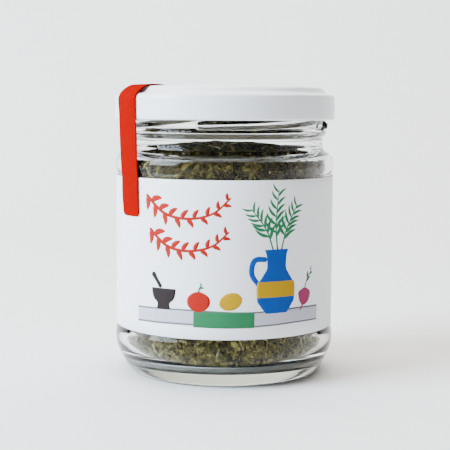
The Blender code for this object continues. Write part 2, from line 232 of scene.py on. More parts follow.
def smooth_curve(points, step=0.08, closed=False):
    """A centripetal Catmull-Rom curve through points, sampled at about step along it.

    The knots lie apart by the square root of each chord. Between two of them the point is found from the
    four nearest given points, by straight blends between neighbours, then between those blends, and once
    more between the results.
    """
    def blend(a, b, knot_a, knot_b, u):
        """The point at u on the straight line that is at a at its knot and at b at its own."""
        return (a * (knot_b - u) + b * (u - knot_a)) / (knot_b - knot_a)

    p = np.asarray(points, float)
    if closed:
        p = np.vstack([p[-1:], p, p[:2]])
    else:
        p = np.vstack([2 * p[0] - p[1], p, 2 * p[-1] - p[-2]])
    chord = np.linalg.norm(np.diff(p, axis=0), axis=1)
    knot = np.concatenate([[0.0], np.cumsum(np.sqrt(chord))])
    parts = []
    for i in range(1, len(p) - 2):
        count = max(int(chord[i] / step), 2)
        u = np.linspace(knot[i], knot[i + 1], count, endpoint=False)[:, None]
        k0, k1, k2, k3 = knot[i - 1:i + 3]
        before = blend(p[i - 1], p[i], k0, k1, u)
        between = blend(p[i], p[i + 1], k1, k2, u)
        after = blend(p[i + 1], p[i + 2], k2, k3, u)
        left = blend(before, between, k0, k2, u)
        right = blend(between, after, k1, k3, u)
        parts.append(blend(left, right, k1, k2, u))
    if not closed:
        parts.append(p[-2:-1])
    return np.concatenate(parts)


def spaced(curve, longest, turn, fine=None):
    """The same curve with fewer points.

    A running measure adds each step's length over longest, its change of direction over turn degrees,
    and its length times fine(r, z), where given. Points are read at equal steps of the measure.
    """
    step = np.diff(curve, axis=0)
    length = np.linalg.norm(step, axis=1)
    heading = np.unwrap(np.arctan2(step[:, 1], step[:, 0]))
    bend = np.degrees(np.abs(np.gradient(heading)))
    measure = length / longest + bend / turn
    if fine:
        middle = (curve[1:] + curve[:-1]) / 2
        measure = measure + length * fine(middle[:, 0], middle[:, 1])
    run = np.concatenate([[0.0], np.cumsum(measure)])
    at = np.linspace(0.0, run[-1], int(math.ceil(run[-1])) + 1)
    return np.stack([np.interp(at, run, curve[:, k]) for k in range(curve.shape[1])], -1)


def arc(centre_r, centre_z, radius, start, end, count):
    """Points on a circular arc in the (r, z) half plane. Angles are in degrees, 0 outwards, 90 up."""
    a = np.radians(np.linspace(start, end, count))
    return np.stack([centre_r + radius * np.cos(a), centre_z + radius * np.sin(a)], -1)


def run_along(path):
    """The length along a path of points, from its start to each of them."""
    return np.concatenate([[0.0], np.cumsum(np.linalg.norm(np.diff(path, axis=0), axis=1))])


def headings(path):
    """Unit vectors along a path at each of its points."""
    along = np.gradient(path, axis=0)
    along /= np.linalg.norm(along, axis=1)[:, None]
    return along


# Shader nodes.

def node(tree, kind, inputs=None, **settings):
    """A node with its settings, and its inputs set to values or linked to output sockets."""
    made = tree.nodes.new(kind)
    for key, value in settings.items():
        setattr(made, key, value)
    for key, value in (inputs or {}).items():
        if isinstance(value, bpy.types.NodeSocket):
            tree.links.new(value, made.inputs[key])
        else:
            made.inputs[key].default_value = value
    return made


def ramp(tree, factor, stops):
    """A colour ramp. stops is a list of (position, (r, g, b))."""
    made = node(tree, "ShaderNodeValToRGB", {"Fac": factor})
    elements = made.color_ramp.elements
    while len(elements) < len(stops):
        elements.new(0.5)
    for element, (position, colour) in zip(elements, stops):
        element.position = position
        element.color = (*colour, 1.0)
    return made.outputs["Color"]


def mottle_group():
    """Slow and fine noise on Object coordinates: a colour that wanders to a second, and a surface height."""
    tree = bpy.data.node_groups.new("mottle", "ShaderNodeTree")
    for name, kind, value in (("Colour", "NodeSocketColor", (0.8, 0.8, 0.8, 1)),
                              ("Second", "NodeSocketColor", (0.7, 0.7, 0.7, 1)),
                              ("Scale", "NodeSocketFloat", 200.0),
                              ("Fine Scale", "NodeSocketFloat", 2000.0),
                              ("Amount", "NodeSocketFloat", 0.5)):
        tree.interface.new_socket(name, in_out="INPUT", socket_type=kind).default_value = value
    for name, kind in (("Colour", "NodeSocketColor"), ("Height", "NodeSocketFloat")):
        tree.interface.new_socket(name, in_out="OUTPUT", socket_type=kind)
    given = tree.nodes.new("NodeGroupInput").outputs
    place = node(tree, "ShaderNodeTexCoord").outputs["Object"]
    slow = node(tree, "ShaderNodeTexNoise", {"Vector": place, "Scale": given["Scale"], "Detail": 3.0})
    fine = node(tree, "ShaderNodeTexNoise", {"Vector": place, "Scale": given["Fine Scale"], "Detail": 2.0})
    both = node(tree, "ShaderNodeMath", {0: slow.outputs["Fac"], 1: fine.outputs["Fac"]},
                operation="MULTIPLY")
    mask = node(tree, "ShaderNodeMapRange", {"Value": both.outputs[0], "From Min": 0.12, "From Max": 0.42})
    share = node(tree, "ShaderNodeMath", {0: mask.outputs[0], 1: given["Amount"]}, operation="MULTIPLY")
    mix = node(tree, "ShaderNodeMix",
               {"Factor": share.outputs[0], "A": given["Colour"], "B": given["Second"]}, data_type="RGBA")
    out = tree.nodes.new("NodeGroupOutput")
    tree.links.new(mix.outputs["Result"], out.inputs["Colour"])
    tree.links.new(fine.outputs["Fac"], out.inputs["Height"])
    return tree


# Finishes.

def material(name, **sockets):
    """A material with one Principled shader, and its plain values set on the shader's own sockets."""
    made = bpy.data.materials.new(name)
    made.use_nodes = True
    shader = made.node_tree.nodes["Principled BSDF"]
    for key, value in sockets.items():
        shader.inputs[key.replace("_", " ")].default_value = value
    return made, made.node_tree, shader


def mottled(name, colour, second, scale, fine_scale, amount, bump=0.0, **sockets):
    """A material whose colour wanders between two colours, with a bump of the same fine noise."""
    made, tree, shader = material(name, **sockets)
    group = node(tree, "ShaderNodeGroup", node_tree=MOTTLE)
    group.inputs["Colour"].default_value = (*colour, 1)
    group.inputs["Second"].default_value = (*second, 1)
    group.inputs["Scale"].default_value = scale
    group.inputs["Fine Scale"].default_value = fine_scale
    group.inputs["Amount"].default_value = amount
    tree.links.new(group.outputs["Colour"], shader.inputs["Base Color"])
    if bump:
        raised = node(tree, "ShaderNodeBump", {"Height": group.outputs["Height"], "Strength": bump,
                                               "Distance": GRAIN_DEPTH * MM})
        tree.links.new(raised.outputs["Normal"], shader.inputs["Normal"])
    return made


def glass_material():
    """Clear soda-lime glass with a faint green and the slow waves of a moulded jar.

    The thick base is seen lengthways, so the lowest part of the heel is darkened: partly the tint of a long
    path, partly painted shade of the floor under the jar.
    """
    made, tree, shader = material("clear_glass", Roughness=0.0, Transmission_Weight=1.0, IOR=1.52,
                                  Specular_Tint=(0.16, 0.16, 0.16, 1.0))
    place = node(tree, "ShaderNodeTexCoord").outputs["Object"]
    tint = node(tree, "ShaderNodeTexNoise", {"Vector": place, "Scale": 60.0, "Detail": 1.0})
    clear = ramp(tree, tint.outputs["Fac"], [(0.3, (0.965, 0.985, 0.972)), (0.7, (0.985, 0.995, 0.988))])
    height = node(tree, "ShaderNodeSeparateXYZ", {"Vector": place}).outputs["Z"]
    flat = node(tree, "ShaderNodeVectorMath", {0: place, 1: (1.0, 1.0, 0.0)}, operation="MULTIPLY")
    radius = node(tree, "ShaderNodeVectorMath", {0: flat.outputs[0]}, operation="LENGTH").outputs["Value"]
    low = node(tree, "ShaderNodeMapRange", {"Value": height, "From Min": TINT_AND_SHADE_HEIGHTS[0] * MM,
                                            "From Max": TINT_AND_SHADE_HEIGHTS[1] * MM})
    wide = node(tree, "ShaderNodeMapRange", {"Value": radius, "From Min": TINT_AND_SHADE_RADII[0] * MM,
                                             "From Max": TINT_AND_SHADE_RADII[1] * MM, "To Min": TINT_AND_SHADE_INNER})
    # thick is the share of the darkening: the long path's tint together with painted shade under the jar.
    thick = node(tree, "ShaderNodeMath", {0: low.outputs[0], 1: wide.outputs[0]}, operation="MULTIPLY")
    colour = node(tree, "ShaderNodeMix", {"Factor": thick.outputs[0], "A": clear, "B": TINT_AND_SHADE},
                  data_type="RGBA")
    tree.links.new(colour.outputs["Result"], shader.inputs["Base Color"])
    wave = node(tree, "ShaderNodeTexNoise", {"Vector": place, "Scale": 90.0, "Detail": 1.0})
    raised = node(tree, "ShaderNodeBump", {"Height": wave.outputs["Fac"], "Strength": 0.25,
                                           "Distance": 0.08 * MM})
    tree.links.new(raised.outputs["Normal"], shader.inputs["Normal"])
    return made


def herb_material(name, stops, roughness):
    """Dried leaf: each flake's own tone picks a colour, and a fine noise darkens and roughens it."""
    made, tree, shader = material(name, Roughness=roughness, Specular_IOR_Level=0.06)
    tone = node(tree, "ShaderNodeAttribute", attribute_name="tone")
    base = ramp(tree, tone.outputs["Fac"], stops)
    place = node(tree, "ShaderNodeTexCoord").outputs["Object"]
    speck = node(tree, "ShaderNodeTexNoise", {"Vector": place, "Scale": 1500.0, "Detail": 3.0})
    share = node(tree, "ShaderNodeMapRange", {"Value": speck.outputs["Fac"], "From Min": 0.35,
                                              "From Max": 0.75, "To Max": 0.55})
    darker = node(tree, "ShaderNodeMix",
                  {"Factor": share.outputs[0], "A": base, "B": (0.02, 0.015, 0.003, 1)}, data_type="RGBA")
    tree.links.new(darker.outputs["Result"], shader.inputs["Base Color"])
    raised = node(tree, "ShaderNodeBump", {"Height": speck.outputs["Fac"], "Strength": 0.6,
                                           "Distance": 0.15 * MM})
    tree.links.new(raised.outputs["Normal"], shader.inputs["Normal"])
    return made


def white_lacquer():
    """Satin white lacquer under a thin gloss, on the outside of the lid."""
    return mottled("white_lacquer", (0.80, 0.815, 0.84), (0.77, 0.785, 0.815), 60.0, 900.0, 0.6,
                   bump=0.05, Roughness=0.32, Coat_Weight=0.25, Coat_Roughness=0.15)


def gold_lacquer():
    """Food lacquer on the inside of the lid."""
    return mottled("gold_lacquer", (0.16, 0.12, 0.04), (0.13, 0.095, 0.03), 80.0, 900.0, 0.6,
                   bump=0.05, Roughness=0.4)


def sealing_compound():
    """Soft pale plastic."""
    return mottled("sealing_compound", (0.82, 0.8, 0.74), (0.74, 0.72, 0.66), 120.0, 1500.0, 0.6,
                   bump=0.1, Roughness=0.5)


def label_paper():
    """Matt coated white paper."""
    return mottled("label_paper", (0.83, 0.83, 0.85), (0.79, 0.79, 0.81), 150.0, 6000.0, 0.5,
                   bump=0.12, Roughness=0.6)


def seal_paper():
    """Matt orange-red paper. Its colour is deep, because the render's tone curve pales bright red."""
    return mottled("seal_paper", (0.23, 0.0006, 0.0), (0.21, 0.0005, 0.0), 200.0, 4000.0, 0.7,
                   bump=0.12, Roughness=0.7, Specular_IOR_Level=0.0)


def pale_backdrop():
    """A plain pale floor and wall."""
    return mottled("pale_backdrop", (0.80, 0.79, 0.775), (0.785, 0.775, 0.76), 3.0, 40.0, 0.5,
                   Roughness=0.75)


# Glass jar.

def jar_inside():
    """The inner side of the glass, from the middle of the floor to the rim."""
    floor = [(0.0, FLOOR_CENTRE_Z), (8.0, FLOOR_CENTRE_Z - 0.05), (16.0, FLOOR_CENTRE_Z - 0.2),
             (23.0, FLOOR_EDGE_Z + 0.35)]
    heel = arc(INSIDE_R - INNER_HEEL_R, FLOOR_EDGE_Z + INNER_HEEL_R, INNER_HEEL_R, -82, 0, 7)
    wall = [(INSIDE_R, 14.0), (INSIDE_R, 40.0), (INSIDE_R - 0.15, 64.0), (INSIDE_R - 0.1, 66.5)]
    shoulder = [(33.6, 68.6), (33.6, 69.6), (33.3, 70.7), (32.4, 71.35), (31.5, 71.95), (30.7, 72.6),
                (30.0, 73.5), (BORE_R, 74.6)]
    neck = [(BORE_R, 76.0), (BORE_R, 90.0), (BORE_R, 91.6), (BORE_R + 0.25, 92.6)]
    return floor + [tuple(p) for p in heel] + wall + shoulder + neck


def jar_outside():
    """The outer side of the glass, from the rim to the middle of the pushed-up underside."""
    rim = [(30.9, RIM_Z), (32.0, RIM_Z), (32.8, RIM_Z - 0.55), (FINISH_R, RIM_Z - 1.6)]
    finish = [(FINISH_R, 90.0), (FINISH_R, 82.6), (FINISH_R, 81.3)]
    bead = [(33.55, 80.6), (33.85, 79.8), (33.55, 79.05)]
    neck = [(32.8, 78.3), (32.6, 77.4), (32.6, 75.9)]
    shoulder = [(32.95, 74.4), (34.5, 73.15), (35.8, 71.8), (36.3, 70.5), (36.45, 69.4)]
    panel = [(36.25, 67.6), (35.83, 66.2), (35.8, 64.8), (35.8, 40.0), (35.8, 17.0), (35.9, 15.7),
             (36.4, 14.4)]
    heel = [(36.58, 12.4), (36.45, 10.0), (36.0, 8.1), (35.2, 6.1), (34.0, 3.9), (32.6, 1.7)]
    bearing = [(31.5, 0.42), (30.5, 0.0), (28.9, 0.0), (27.6, 0.45)]
    push_up = [(26.2, 1.1), (23.0, 1.9), (12.0, 2.4), (0.0, 2.4)]
    return rim + finish + bead + neck + shoulder + panel + heel + bearing + push_up


def thread_height(azimuth, height):
    """How far the threads stand out of the finish.

    Each ridge's middle line starts at THREAD_LOW_Z. At a share of its span it has climbed by
    THREAD_CLIMB times the share plus THREAD_SWEEP times the share's cube. Across the ridge, the distance
    from that line over THREAD_HALF is raised to THREAD_FLATNESS, and the ridge stands out by
    THREAD_PROUD times the squared cosine of that share of a quarter turn.
    """
    most = np.zeros(np.broadcast(azimuth, height).shape)
    around = math.radians(1.0) * FINISH_R
    for k in range(THREAD_STARTS):
        start = THREAD_AZIMUTH + k * 360.0 / THREAD_STARTS
        off = (azimuth - start + 90.0) % 360.0 - 90.0
        t = np.clip(off / THREAD_SPAN, 0.0, 1.0)
        line = THREAD_LOW_Z + THREAD_CLIMB * t + THREAD_SWEEP * t ** 3
        slope = (THREAD_CLIMB + 3 * THREAD_SWEEP * t ** 2) / (THREAD_SPAN * around)
        down = (height - line) / np.sqrt(1 + slope ** 2)
        away = np.hypot(down, (off - t * THREAD_SPAN) * around) / THREAD_HALF
        bump = np.cos(math.pi / 2 * np.minimum(away, 1.0) ** THREAD_FLATNESS) ** 2
        most = np.maximum(most, THREAD_PROUD * bump)
    return most


def jar_reshape(azimuth, radius, height):
    """Threads on the finish, and a ring of small knurls on the edge that the jar stands on."""
    outside = (radius > FINISH_R - 0.4) & (height > FINISH_LOW_Z) & (height < FINISH_TOP_Z)
    radius = radius + np.where(outside, thread_height(azimuth, height), 0.0)
    knurled = (radius > BEARING_RADII[0]) & (radius < BEARING_RADII[1]) & (height < BEARING_TOP_Z)
    knurl = KNURL_RISE * (0.5 - 0.5 * np.cos(np.radians(azimuth) * KNURLS))
    return radius, height + np.where(knurled, knurl, 0.0)


def build_jar(finish):
    """The glass: one profile turned about Z, up the inside, over the rim and down the outside."""
    def fine(r, z):
        """More points for each millimetre, on the threads and on the shoulder and neck."""
        threads = (r > FINISH_R - 0.3) & (z > FINISH_LOW_Z) & (z < FINISH_TOP_Z - 0.5)
        shoulder = (z > 66.0) & (z < 79.0)
        return np.where(threads, 3.0, 0.0) + np.where(shoulder, 1.2, 0.0)

    inside = smooth_curve(jar_inside())
    outside = smooth_curve(jar_outside())
    profile = spaced(np.vstack([inside, outside]), longest=4.0, turn=4.5, fine=fine)
    jar = turned("jar_glass", profile, JAR_SIDES, finish, reshape=jar_reshape)
    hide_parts("jar")
    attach(jar, "root")


# Lid.

def lid_reshape(azimuth, radius, height):
    """Four lugs: the rolled edge is pressed inwards and flattened over LUG_HALF degrees each way.

    The press falls off as a parabola of the azimuth, eased at both ends, and grows from nothing just
    inside the skirt to full at the roll's inner side.
    """
    skirt, lug_z = 0.5, LID_BOTTOM_Z + 0.7
    for k in range(THREAD_STARTS):
        off = (azimuth - LUG_AZIMUTH - k * 360.0 / THREAD_STARTS + 180.0) % 360.0 - 180.0
        share = np.clip(LUG_SHARPNESS * (1.0 - (off / LUG_HALF) ** 2), 0.0, 1.0)
        share = share * share * (3 - 2 * share)
        inner = np.clip((LID_R - skirt - radius) / (2 * CURL_R - skirt), 0.0, 1.0)
        low = height < LID_BOTTOM_Z + 2.2 * CURL_R
        press = np.where(low, share * inner, 0.0)
        radius = radius - LUG_PUSH * press
        height = height + (lug_z - height) * LUG_FLAT * press
    return radius, height


def build_lid(finish, inside):
    """Lacquered sheet, turned about Z.

    Its outer line runs from the middle of the top to the end of the rolled edge, which is a spiral that
    tightens by the square of its turn. The inner line is the same, moved inwards by the sheet's thickness.
    """
    top = [(0.0, 93.9), (12.0, 93.9), (23.0, 93.9), (25.2, 93.92), (26.3, 94.15), (27.4, 94.5), (28.6, 94.65),
           (30.2, 94.68), (31.4, 94.6), (32.3, 94.2), (32.9, 93.5), (33.4, 92.9), (34.1, 92.5), (35.0, 92.28)]
    corner = arc(LID_R - LID_CORNER_R, LID_CORNER_Z, LID_CORNER_R, 72, 0, 6)
    skirt = [(LID_R, 89.6), (LID_R, 87.0), (LID_R, LID_BOTTOM_Z + CURL_R + 0.4)]
    share = np.linspace(0.0, 1.0, 22)
    size = CURL_R - CURL_TIGHTER * share ** 2
    a = np.radians(-CURL_TURN * share)
    curl = np.stack([LID_R - CURL_R + size * np.cos(a), LID_BOTTOM_Z + CURL_R + size * np.sin(a)], -1)
    outer = spaced(smooth_curve(np.vstack([top, corner, skirt, curl])), longest=3.0, turn=7.0)
    along = headings(outer)
    inner = outer + SHEET * np.stack([along[:, 1], -along[:, 0]], -1)
    inner[0, 0] = 0.0
    lid = turned("lid_shell", np.vstack([outer, inner[::-1]]), LID_SIDES, finish, reshape=lid_reshape)
    lid.data.materials.append(inside)
    centre, normal = np.empty((2, len(lid.data.polygons), 3), np.float32)
    lid.data.polygons.foreach_get("center", centre.ravel())
    lid.data.polygons.foreach_get("normal", normal.ravel())
    radius, height = np.hypot(centre[:, 0], centre[:, 1]) / MM, centre[:, 2] / MM
    facing = normal[:, 0] * centre[:, 0] + normal[:, 1] * centre[:, 1]
    underneath = (normal[:, 2] < -0.2) | ((facing < 0) & (radius > 32.0))
    lacquered = (height > LID_BOTTOM_Z + 2 * CURL_R) & underneath
    lid.data.polygons.foreach_set("material_index", lacquered.astype(np.int32))
    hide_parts("lid")
    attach(lid, "root")


def build_liner(finish):
    """A ring of sealing compound with soft edges, on a closed profile."""
    profile = smooth_curve([(28.95, 93.6), (28.95, 93.95), (29.3, 94.08), (30.6, 94.1), (31.4, 94.05),
                            (32.0, 93.8), (32.05, 93.58), (31.6, 93.52), (30.3, 93.5), (29.2, 93.5)],
                           step=0.15, closed=True)
    liner = turned("liner_ring", profile, LINER_SIDES, finish, closed=True)
    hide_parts("lid_liner")
    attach(liner, "root")


# Sheets that lie on the jar.

def end_caps(rows, cols, start=0):
    """Quads across the first and the last row of a flat solid, whose rows of points are closed rings."""
    j = np.arange(cols // 2 - 1)
    cap = np.stack([j, j + 1, cols - 2 - j, cols - 1 - j], -1) + start
    return cap, cap + (rows - 1) * cols


def banded(name, sections, finish):
    """A flat solid from cross-sections, an array (rows, points, 3), each a closed ring.

    Its two end caps face inwards, which is a fault that the paper's thinness hides.
    """
    rows, cols = sections.shape[:2]
    first, last = end_caps(rows, cols)
    return put_mesh(name, sections.reshape(-1, 3), [grid_faces(rows, cols), first, last[:, ::-1]], finish)


def build_label(finish):
    """Paper round the jar, from one end at the back to the other, with its edges eased.

    The sections across it are upright rings, two lines of heights at the paper's two radii.
    """
    half = 180.0 - math.degrees(LABEL_END_GAP / 2 / LABEL_R)
    azimuth = np.linspace(-half, half, 257)[:, None]
    z = np.concatenate([[LABEL_BOTTOM_Z, LABEL_BOTTOM_Z + PAPER_EDGE],
                        np.linspace(LABEL_BOTTOM_Z + 3, LABEL_TOP_Z - 3, 14),
                        [LABEL_TOP_Z - PAPER_EDGE, LABEL_TOP_Z]])
    outer = LABEL_R + LABEL_THICK - np.where((z == z[0]) | (z == z[-1]), PAPER_EDGE_DROP, 0.0)
    ring_r = np.concatenate([outer, np.full(len(z), LABEL_R)])[None, :]
    ring_z = np.concatenate([z, z[::-1]])[None, :]
    label = banded("label_paper", polar(ring_r, azimuth, ring_z), finish)
    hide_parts("label")
    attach(label, "root")


def strip_path():
    """The strip's inner side in (r, z): over the lid's ring, down its skirt and neck, to the label."""
    on_top = [(STRIP_TOP_END_R, 94.2), (20.0, 94.2), (25.4, 94.24), (27.1, 94.78), (28.5, 94.98)]
    over_edge = [(31.5, 94.96), (32.8, 94.65), (34.2, 93.9), (35.5, 92.9), (36.4, 91.8), (36.85, 90.5)]
    skirt = [(36.88, 87.5), (36.88, 84.6)]
    bridge = [(36.75, 81.0), (36.66, 77.5), (36.7, 74.0), (36.78, 71.0)]
    shoulder = [(36.8, 69.0), (36.72, 67.2), (36.58, 65.4), (36.55, 63.5)]
    on_label = [(36.55, 58.0), (36.55, STRIP_BOTTOM_Z)]
    return on_top + over_edge + skirt + bridge + shoulder + on_label


def build_strip(finish):
    """A paper band carried along strip_path.

    Each row across it is a copy of one arc of the jar's side, and below STRIP_NARROWS_Z its width and its
    lean change evenly with height. Its corners are quarter circles of radius STRIP_CORNER. Its outer
    side's edges lift and sink a little along the strip, by a sine that grows as the square of the way
    from the middle line.
    """
    path = spaced(smooth_curve(strip_path()), longest=1.6, turn=3.0)
    first, last = path[1] - path[0], path[-2] - path[-1]
    path = np.vstack([path[:1] + first * share for share in (0.0, 0.12, 0.35, 0.7)] + [path[1:-1]]
                     + [path[-1:] + last * share for share in (0.9, 0.6, 0.35, 0.15, 0.05, 0.0)])
    along = headings(path)
    outward = np.stack([-along[:, 1], along[:, 0]], -1)
    run = run_along(path)
    down = np.clip((STRIP_NARROWS_Z - path[:, 1]) / (STRIP_NARROWS_Z - STRIP_BOTTOM_Z), 0.0, 1.0)
    width = STRIP_TOP_WIDTH + (STRIP_END_WIDTH - STRIP_TOP_WIDTH) * down
    to_go = STRIP_CORNER - np.minimum(np.minimum(run, run[-1] - run), STRIP_CORNER)
    cut = STRIP_CORNER - np.sqrt(np.maximum(STRIP_CORNER * STRIP_CORNER - to_go ** 2, 0.0))
    half = width / 2 - cut
    centre = STRIP_TOP_AZIMUTH + (STRIP_END_AZIMUTH - STRIP_TOP_AZIMUTH) * down
    out = polar(1.0, centre, 0.0)
    side = np.stack([-out[:, 1], out[:, 0], np.zeros(len(out))], -1)
    across = np.linspace(-1.0, 1.0, 13)
    turn = across[None, :] * half[:, None] / LID_R
    slack = STRIP_WAVE * np.sin(run / run[-1] * STRIP_WAVE_TURN)[:, None] * (across ** 2)[None, :]

    def layer(lift):
        """The strip's points at a height over its inner side. Only the outer side waves."""
        r = path[:, 0] + outward[:, 0] * lift
        z = path[:, 1] + outward[:, 1] * lift
        reach = r[:, None] - LID_R * (1 - np.cos(turn)) + slack * (lift > 0.1)
        points = out[:, None, :] * reach[..., None] + side[:, None, :] * (LID_R * np.sin(turn))[..., None]
        points[..., 2] = z[:, None]
        return points

    sections = np.concatenate([layer(STRIP_THICK), layer(0.0)[:, ::-1]], axis=1)
    strip = banded("seal_tape", sections, finish)
    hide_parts("seal_strip")
    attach(strip, "root")


# Print on the label. x is measured round the paper from its front, in millimetres, and z is the height.

def ink_stroke(line, widths, layer=0, round_ends=True):
    """Points (n, m, 3) of one flat shape of ink, whose middle line runs smoothly through line.

    The full width goes smoothly through widths, spread evenly along the line, and at a round end it
    closes as a half circle does. The points lie closer together towards both ends, by a cosine. The
    shape's outer side lies over the paper by PRINT_THICK for each layer, and its inner side in it.
    """
    path = smooth_curve(line, step=0.3)
    run = run_along(path)
    count = max(int(run[-1] / PRINT_STEP), 3)
    at = run[-1] * (0.5 - 0.5 * np.cos(np.linspace(0.0, math.pi, count + 4)))
    path = np.stack([np.interp(at, run, path[:, k]) for k in (0, 1)], -1)
    stations = np.linspace(0.0, 1.0, len(widths))
    profile = smooth_curve(np.stack([stations, np.asarray(widths, float)], -1), step=0.02)
    width = np.interp(at / run[-1], profile[:, 0], profile[:, 1])
    if round_ends:
        for end, gap in ((0, at), (-1, run[-1] - at)):
            radius = max(width[end] / 2, 0.05)
            inside = np.clip(1.0 - gap / radius, 0.0, 1.0)
            width = width * np.sqrt(np.maximum(1.0 - inside ** 2, 0.0))
    width = np.maximum(width, PRINT_LEAST_WIDTH)
    along = headings(path)
    across = np.linspace(-0.5, 0.5, max(int(max(widths) / PRINT_STEP_ACROSS), 1) + 2)
    x = path[:, :1] - along[:, 1:] * width[:, None] * across
    z = path[:, 1:] + along[:, :1] * width[:, None] * across
    outer_r = LABEL_R + LABEL_THICK
    turn = np.degrees(x / outer_r)
    over = polar(outer_r + PRINT_THICK * (1 + layer), turn, z)
    under = polar(outer_r - PRINT_SUNK, turn, z)
    return np.concatenate([over, under[:, ::-1]], axis=1)


def leaf_print(x, z, heading, length, width, layer=0):
    """One narrow leaf, slightly bowed, from its foot towards heading, in degrees from +x towards +z."""
    a = math.radians(heading)
    bowed = a + PRINT_LEAF_BOW
    tip = (x + length * math.cos(a), z + length * math.sin(a))
    middle = (x + 0.55 * length * math.cos(bowed), z + 0.55 * length * math.sin(bowed))
    return ink_stroke([(x, z), middle, tip], [0.25 * width, width, 0.8 * width, 0.15 * width], layer)


def sprig_print(line, pairs, length, width, stem, spread=42.0, first=0.25, layer=0):
    """A stem along line, with pairs of leaves to both sides by turns, shorter towards its tip.

    The leaves stand out by spread degrees, and they start at the share first of the stem.
    """
    shapes = [ink_stroke(line, [stem, stem * 0.8, stem * 0.5], layer)]
    path = smooth_curve(line, step=0.3)
    for k in range(2 * pairs):
        share = first + (0.97 - first) * k / (2 * pairs - 1)
        i = min(int(share * (len(path) - 1)), len(path) - 2)
        heading = math.degrees(math.atan2(*(path[i + 1] - path[i])[::-1]))
        side = 1 if k % 2 else -1
        size = 1.0 - 0.45 * share
        shapes.append(leaf_print(*path[i], heading + side * spread, length * size, width * size, layer))
    return shapes


def put_ink(name, shapes, colour):
    """One object of all the shapes in one colour of ink."""
    points, faces, start = [], [], 0
    for shape in shapes:
        rows, cols = shape.shape[:2]
        points.append(shape.reshape(-1, 3))
        first, last = end_caps(rows, cols, start)
        faces += [grid_faces(rows, cols, start=start), first[:, ::-1], last]
        start += rows * cols
    second = tuple(0.9 * c for c in colour)
    ink = mottled("ink_" + name, colour, second, 300.0, 5000.0, 0.8, Roughness=0.6, Specular_IOR_Level=0.1)
    made = put_mesh("print_" + name, np.concatenate(points), faces, ink)
    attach(made, "root")


def build_print():
    """A plain kitchen still life: a table with a runner, a jug of herbs, fruit, a mortar and two swags."""
    table = [ink_stroke([(-31.0, 22.4), (-12.0, 22.9), (8.0, 22.3), (24.0, 22.8), (35.0, 22.5)],
                        [4.4, 4.5, 4.4], round_ends=False)]
    outline = [ink_stroke([(-31.0, 24.6), (-12.0, 25.1), (8.0, 24.5), (24.0, 25.0), (35.0, 24.7)],
                          [0.5] * 3, 1),
               ink_stroke([(-31.0, 20.2), (-12.0, 20.6), (8.0, 20.1), (24.0, 20.5), (35.0, 20.3)],
                          [0.5] * 3, 1)]
    runner = [ink_stroke([(-9.6, 22.3), (9.6, 22.1)], [4.9, 5.0, 4.8], 2, round_ends=False)]
    jug_sides = [7.4, 11.2, 13.4, 13.6, 11.8, 8.6, 6.6, 6.9, 8.2]
    jug = [ink_stroke([(17.0, 24.0), (17.0, 44.0)], jug_sides, 3, round_ends=False),
           ink_stroke([(13.6, 41.0), (9.6, 40.8), (8.6, 36.6), (11.4, 32.4)], [1.5, 1.7, 1.6, 1.4], 3)]
    band = [ink_stroke([(17.0, 29.0), (17.0, 34.0)], [13.35, 13.7, 12.9], 4, round_ends=False)]
    lemon = [ink_stroke([(-1.4, 26.9), (2.2, 28.1), (5.6, 29.2)], [1.4, 4.6, 5.4, 4.6, 1.6], 3)]
    green = []
    for line in ([(18.6, 43.6), (20.4, 50.0), (24.6, 57.8)], [(17.2, 43.6), (16.6, 52.0), (17.6, 62.4)],
                 [(15.8, 43.6), (13.4, 50.0), (8.4, 56.8)]):
        green += sprig_print(line, 6, 6.2, 1.25, 0.55)
    green += sprig_print([(28.4, 30.6), (29.4, 33.6), (31.6, 36.4)], 2, 3.0, 1.2, 0.5, 30.0, 0.4)
    red = sprig_print([(-27.0, 60.6), (-19.5, 55.0), (-11.0, 53.6), (-3.5, 55.4), (2.0, 60.2)],
                      8, 4.6, 2.0, 1.1, 52.0, 0.02)
    red += sprig_print([(-25.5, 50.0), (-18.5, 44.8), (-11.0, 43.6), (-3.5, 45.4), (1.5, 49.8)],
                       8, 4.6, 2.0, 1.1, 52.0, 0.02)
    red += [ink_stroke([(-8.0, 24.6), (-8.0, 31.0)], [6.2, 7.2, 7.4, 7.2, 5.6], 3)]
    pink = [ink_stroke([(27.4, 25.6), (28.2, 28.6), (28.4, 31.2)], [1.0, 4.6, 5.6, 2.6], 3),
            ink_stroke([(27.4, 25.8), (26.2, 24.0)], [0.7, 0.35], 3)]
    black = [ink_stroke([(-20.0, 24.8), (-20.0, 31.4)], [5.2, 4.4, 7.4, 8.6, 9.0], 3, round_ends=False),
             ink_stroke([(-20.8, 31.6), (-24.2, 36.2)], [1.3, 1.2, 1.9], 3)]
    green += sprig_print([(-8.0, 31.0), (-7.5, 32.4), (-6.8, 33.2)], 1, 1.8, 0.8, 0.5, 60.0, 0.5, 4)
    put_ink("lavender_grey", table, (0.46, 0.46, 0.52))
    put_ink("grey", outline, (0.13, 0.13, 0.14))
    put_ink("blue", jug, (0.0, 0.055, 0.3))
    put_ink("yellow", band + lemon, (0.42, 0.24, 0.0))
    put_ink("green", green + runner, (0.02, 0.15, 0.06))
    put_ink("red", red, (0.33, 0.01, 0.005))
    put_ink("pink", pink, (0.28, 0.03, 0.1))
    put_ink("black", black, (0.018, 0.012, 0.012))


# Dried tarragon.

def room_r(z):
    """The radius of the glass's inner side at height z."""
    inside = INSIDE_CURVE[INSIDE_CURVE[:, 0] > 27.0]
    return np.interp(z, inside[:, 1], inside[:, 0])


def floor_z(r):
    """The height of the jar's floor and inner heel at radius r."""
    inside = INSIDE_CURVE[INSIDE_CURVE[:, 1] < FLOOR_EDGE_Z + INNER_HEEL_R]
    return np.interp(r, inside[:, 0], inside[:, 1])


